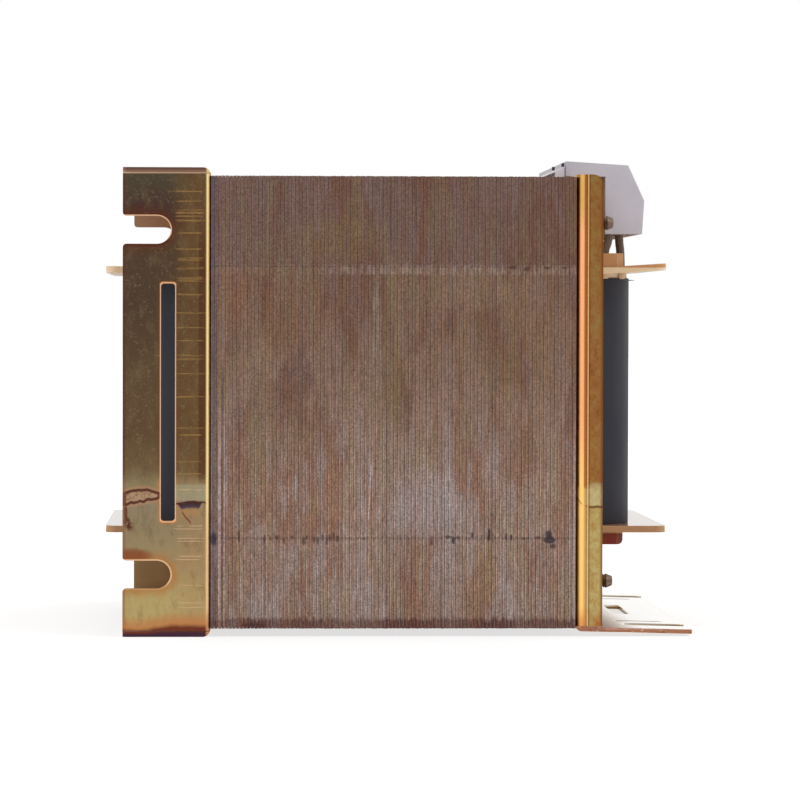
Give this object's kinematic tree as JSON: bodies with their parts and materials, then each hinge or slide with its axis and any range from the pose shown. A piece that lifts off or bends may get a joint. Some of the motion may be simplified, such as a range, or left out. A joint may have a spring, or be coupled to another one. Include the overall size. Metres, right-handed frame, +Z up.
{
  "type": "laminated chassis transformer",
  "caption": "Laminated core transformer between a slotted tray frame and a footed frame, with a wound former and a screw terminal block on top.",
  "frame": {"origin": "centre of the whole part's footprint box, on the surface it stands on", "axes": "+X along the lamination stack towards the foot, +Y away from the picture's viewer, +Z up"},
  "size_m": [0.163, 0.152, 0.1323],
  "materials": {
    "core_steel": "varnished sheet edges, streaked brown",
    "tray_zinc": "yellow chromate over zinc, varnish stained",
    "foot_zinc": "yellow chromate over zinc",
    "former_plastic": "moulded, amber beige",
    "winding_wire": "enamelled copper wire",
    "insulation_paper": "varnished paper",
    "cover_paper": "pale cover paper",
    "slate_tape": "dark slate tape",
    "wedge_board": "pressed board",
    "bolt_steel": "dull steel",
    "washer_zinc": "yellow zinc",
    "terminal_plastic": "grey with a lilac cast",
    "cage_metal": "plated clamp",
    "strip_plastic": "white strip",
    "peg_plastic": "dark pegs",
    "sleeve_plastic": "brown-grey sleeve"
  },
  "bodies": {
    "root": {"e_laminations": "core_steel", "i_laminations": "core_steel", "slotted_tray_frame": "tray_zinc", "footed_frame": "foot_zinc", "coil_former": "former_plastic", "inner_winding": "winding_wire", "outer_winding": "winding_wire", "layer_insulation": "insulation_paper", "cover_insulation": "cover_paper", "outer_wrap": "slate_tape", "coil_wedges": "wedge_board", "clamp_bolts": "bolt_steel", "clamp_nuts": "bolt_steel", "head_washers": "washer_zinc", "nut_washers": "washer_zinc", "bolt_sleeves": "insulation_paper", "terminal_housing": "terminal_plastic", "terminal_cages": "cage_metal", "terminal_screws": "bolt_steel", "terminal_tags": "cage_metal", "marker_strip": "strip_plastic", "strip_pegs": "peg_plastic", "lead_sleeves": "sleeve_plastic", "lead_wires": "winding_wire"}
  },
  "joints": []
}
